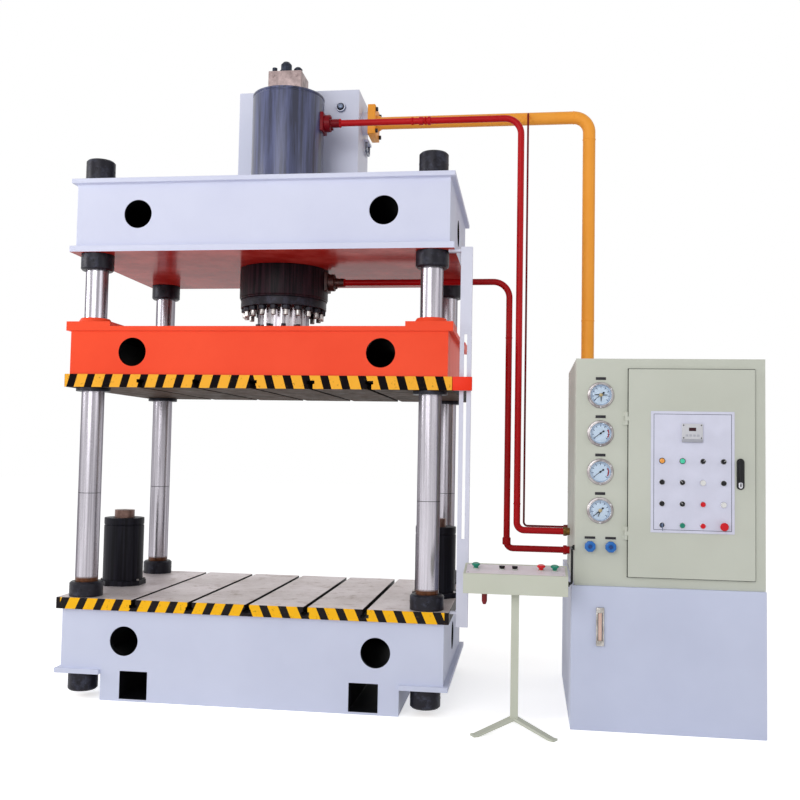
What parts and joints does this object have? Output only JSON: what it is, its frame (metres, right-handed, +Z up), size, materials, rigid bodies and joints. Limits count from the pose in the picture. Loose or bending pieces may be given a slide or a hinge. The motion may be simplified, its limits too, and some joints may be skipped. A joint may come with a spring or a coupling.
{
  "type": "hydraulic press",
  "caption": "Four-column hydraulic press with a slotted table, a guided slide, a ram on the crown, and a separate power unit with a control cabinet and a push-button console.",
  "frame": {"origin": "underside of the press bed on the floor, under the ram's axis", "axes": "+X to the operator's right towards the power unit, +Y away from the operator, +Z up along the ram"},
  "size_m": [3.63, 1.4303, 3.646],
  "materials": {
    "black_plastic": "matte",
    "black_steel": "blackened",
    "blue_plastic": "gloss",
    "bright_metal": "bright",
    "cabinet_paint": "textured grey-green paint",
    "column_chrome": "hard chrome",
    "counter_case": "matte",
    "frame_paint": "satin pale grey paint",
    "gauge_glass": "clear",
    "green_plastic": "gloss",
    "lamp_lens": "translucent lens",
    "machined_steel": "machined plate",
    "motor_paint": "grey-blue paint",
    "orange_paint": "gloss orange paint",
    "panel_sheet": "printed sheet",
    "red_paint": "gloss red paint",
    "red_plastic": "gloss",
    "rod_steel": "ground",
    "slide_paint": "gloss orange-red paint",
    "switch_plastic": "matte",
    "tank_paint": "satin pale grey paint",
    "white_plastic": "gloss"
  },
  "bodies": {
    "press": {"bed": "frame_paint", "table_plate": "machined_steel", "columns": "column_chrome", "column_nuts": "black_steel", "crown": "frame_paint", "main_cylinder": "black_steel", "cylinder_lock_nut": "black_steel", "gland_flange": "black_steel", "gland_studs": "black_steel", "filling_valve": "bright_metal", "filler_tank": "tank_paint", "pressure_pipe": "red_paint", "return_pipe": "red_paint", "pilot_pipe": "red_paint", "suction_pipe": "orange_paint", "stroke_rail": "frame_paint", "buffer_cylinders": "black_steel", "oil_tank": "frame_paint", "oil_level_gauge": "bright_metal", "cabinet": "cabinet_paint", "switchgear": "switch_plastic", "motor_pump_set": "motor_paint", "gauge_cases": "bright_metal", "gauge_glasses": "gauge_glass", "console_box": "cabinet_paint", "console_stand": "cabinet_paint", "console_conduit": "black_plastic"},
    "slide_assembly": {"slide": "slide_paint", "slide_platen": "machined_steel", "guide_bushes": "black_steel", "piston_rod": "rod_steel", "trip_arm": "red_paint"},
    "buffer_left": {"buffer_rod_left": "rod_steel"},
    "buffer_right": {"buffer_rod_right": "rod_steel"},
    "cabinet_door": {"door": "cabinet_paint", "control_panel": "panel_sheet", "counter": "counter_case", "indicator_lamps": "lamp_lens"},
    "door_handle": {"door_lever": "black_plastic"},
    "left_valve_knob": {"valve_knob_left": "blue_plastic"},
    "right_valve_knob": {"valve_knob_right": "blue_plastic"},
    "key_lock": {"key_switch": "bright_metal"},
    "stop_button": {"emergency_stop": "red_plastic"},
    "black_button_upper_left_body": {"black_button_upper_left": "black_plastic"},
    "white_button_upper_body": {"white_button_upper": "white_plastic"},
    "black_button_upper_right_body": {"black_button_upper_right": "black_plastic"},
    "black_button_lower_left_body": {"black_button_lower_left": "black_plastic"},
    "red_button_upper_body": {"red_button_upper": "red_plastic"},
    "white_button_lower_body": {"white_button_lower": "white_plastic"},
    "green_button_body": {"green_button": "green_plastic"},
    "red_button_lower_body": {"red_button_lower": "red_plastic"},
    "selector_top_left_body": {"selector_top_left": "black_plastic"},
    "selector_top_right_body": {"selector_top_right": "black_plastic"},
    "selector_middle_body": {"selector_middle": "black_plastic"},
    "selector_low_body": {"selector_low": "black_plastic"},
    "console_green_left_body": {"console_green_left": "green_plastic"},
    "console_selector_left_body": {"console_selector_left": "black_plastic"},
    "console_selector_right_body": {"console_selector_right": "black_plastic"},
    "console_red_body": {"console_red": "red_plastic"},
    "console_green_right_body": {"console_green_right": "green_plastic"}
  },
  "joints": [
    {"name": "slide_stroke", "type": "slide", "parent": "press", "child": "slide_assembly", "axis": [0, 0, -1], "range_m": [0, 0.685]},
    {"name": "buffer_left_travel", "type": "slide", "parent": "press", "child": "buffer_left", "axis": [0, 0, -1], "range_m": [0, 0.032], "stiffness_N_per_m": 20000, "springref_m": -0.02},
    {"name": "buffer_right_travel", "type": "slide", "parent": "press", "child": "buffer_right", "axis": [0, 0, -1], "range_m": [0, 0.032], "stiffness_N_per_m": 20000, "springref_m": -0.02},
    {"name": "door_hinge", "type": "hinge", "parent": "press", "child": "cabinet_door", "pos_m": [1.919, -0.604, 0.75], "axis": [0, 0, -1], "range_deg": [0, 110]},
    {"name": "door_lever_turn", "type": "hinge", "parent": "cabinet_door", "child": "door_handle", "pos_m": [2.459, -0.6125, 1.3205], "axis": [0, -1, 0], "range_deg": [0, 90]},
    {"name": "valve_knob_left_turn", "type": "hinge", "parent": "press", "child": "left_valve_knob", "pos_m": [1.745, -0.596, 0.893], "axis": [0, 1, 0], "range_deg": [0, 720]},
    {"name": "valve_knob_right_turn", "type": "hinge", "parent": "press", "child": "right_valve_knob", "pos_m": [1.845, -0.596, 0.893], "axis": [0, 1, 0], "range_deg": [0, 720]},
    {"name": "key_turn", "type": "hinge", "parent": "cabinet_door", "child": "key_lock", "pos_m": [2.088, -0.6165, 1.008], "axis": [0, 1, 0], "range_deg": [0, 90]},
    {"name": "emergency_stop_push", "type": "slide", "parent": "cabinet_door", "child": "stop_button", "axis": [0, 1, 0], "range_m": [0, 0.005], "stiffness_N_per_m": 1500, "springref_m": -0.003},
    {"name": "black_button_upper_left_push", "type": "slide", "parent": "cabinet_door", "child": "black_button_upper_left_body", "axis": [0, 1, 0], "range_m": [0, 0.004], "stiffness_N_per_m": 800, "springref_m": -0.003},
    {"name": "white_button_upper_push", "type": "slide", "parent": "cabinet_door", "child": "white_button_upper_body", "axis": [0, 1, 0], "range_m": [0, 0.004], "stiffness_N_per_m": 800, "springref_m": -0.003},
    {"name": "black_button_upper_right_push", "type": "slide", "parent": "cabinet_door", "child": "black_button_upper_right_body", "axis": [0, 1, 0], "range_m": [0, 0.004], "stiffness_N_per_m": 800, "springref_m": -0.003},
    {"name": "black_button_lower_left_push", "type": "slide", "parent": "cabinet_door", "child": "black_button_lower_left_body", "axis": [0, 1, 0], "range_m": [0, 0.004], "stiffness_N_per_m": 800, "springref_m": -0.003},
    {"name": "red_button_upper_push", "type": "slide", "parent": "cabinet_door", "child": "red_button_upper_body", "axis": [0, 1, 0], "range_m": [0, 0.004], "stiffness_N_per_m": 800, "springref_m": -0.003},
    {"name": "white_button_lower_push", "type": "slide", "parent": "cabinet_door", "child": "white_button_lower_body", "axis": [0, 1, 0], "range_m": [0, 0.004], "stiffness_N_per_m": 800, "springref_m": -0.003},
    {"name": "green_button_push", "type": "slide", "parent": "cabinet_door", "child": "green_button_body", "axis": [0, 1, 0], "range_m": [0, 0.004], "stiffness_N_per_m": 800, "springref_m": -0.003},
    {"name": "red_button_lower_push", "type": "slide", "parent": "cabinet_door", "child": "red_button_lower_body", "axis": [0, 1, 0], "range_m": [0, 0.004], "stiffness_N_per_m": 800, "springref_m": -0.003},
    {"name": "selector_top_left_turn", "type": "hinge", "parent": "cabinet_door", "child": "selector_top_left_body", "pos_m": [2.282, -0.6165, 1.3215], "axis": [0, 1, 0], "range_deg": [-45, 45]},
    {"name": "selector_top_right_turn", "type": "hinge", "parent": "cabinet_door", "child": "selector_top_right_body", "pos_m": [2.379, -0.6165, 1.3215], "axis": [0, 1, 0], "range_deg": [-45, 45]},
    {"name": "selector_middle_turn", "type": "hinge", "parent": "cabinet_door", "child": "selector_middle_body", "pos_m": [2.185, -0.6165, 1.217], "axis": [0, 1, 0], "range_deg": [-45, 45]},
    {"name": "selector_low_turn", "type": "hinge", "parent": "cabinet_door", "child": "selector_low_body", "pos_m": [2.185, -0.6165, 1.1125], "axis": [0, 1, 0], "range_deg": [-45, 45]},
    {"name": "console_green_left_push", "type": "slide", "parent": "press", "child": "console_green_left_body", "axis": [0, 0.202, -0.9794], "range_m": [0, 0.006], "stiffness_N_per_m": 1200, "springref_m": -0.004},
    {"name": "console_selector_left_turn", "type": "hinge", "parent": "press", "child": "console_selector_left_body", "pos_m": [1.317, -0.71, 0.7785], "axis": [0, -0.202, 0.9794], "range_deg": [-45, 45]},
    {"name": "console_selector_right_turn", "type": "hinge", "parent": "press", "child": "console_selector_right_body", "pos_m": [1.379, -0.71, 0.7785], "axis": [0, -0.202, 0.9794], "range_deg": [-45, 45]},
    {"name": "console_red_push", "type": "slide", "parent": "press", "child": "console_red_body", "axis": [0, 0.202, -0.9794], "range_m": [0, 0.006], "stiffness_N_per_m": 1200, "springref_m": -0.004},
    {"name": "console_green_right_push", "type": "slide", "parent": "press", "child": "console_green_right_body", "axis": [0, 0.202, -0.9794], "range_m": [0, 0.006], "stiffness_N_per_m": 1200, "springref_m": -0.004}
  ]
}
